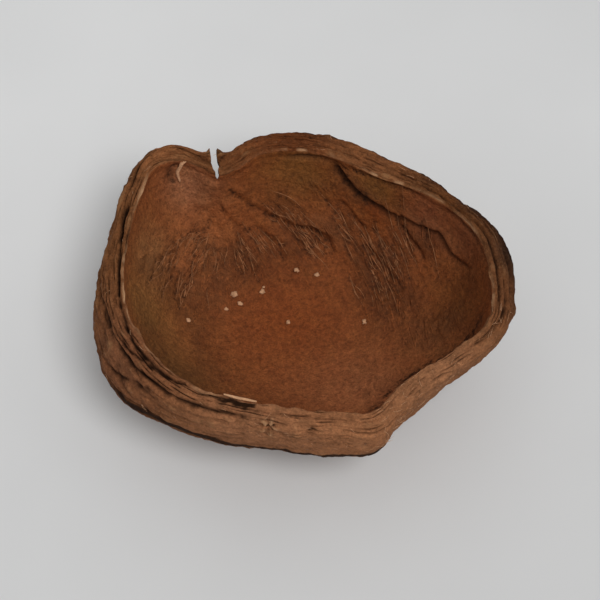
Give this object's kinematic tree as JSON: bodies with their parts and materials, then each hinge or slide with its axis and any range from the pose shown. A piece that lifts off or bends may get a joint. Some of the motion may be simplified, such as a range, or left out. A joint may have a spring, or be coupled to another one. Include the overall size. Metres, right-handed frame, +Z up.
{
  "type": "brazil nut pod half",
  "caption": "Empty half of a Brazil nut pod: a deep woody bowl with a layered, broken rim, a slit in the far wall and an inward fold at the near right.",
  "frame": {"origin": "middle of the shell's bounding box in plan, at the surface the flat spot rests on", "axes": "+Z up out of the bowl, +X along the long way of the rim towards the blunt right end, +Y towards the slit in the far wall"},
  "size_m": [0.1282, 0.1102, 0.049],
  "materials": {
    "husk": "dry, dull, fibrous brown husk"
  },
  "bodies": {
    "root": {"pod_half": "husk"}
  },
  "joints": []
}
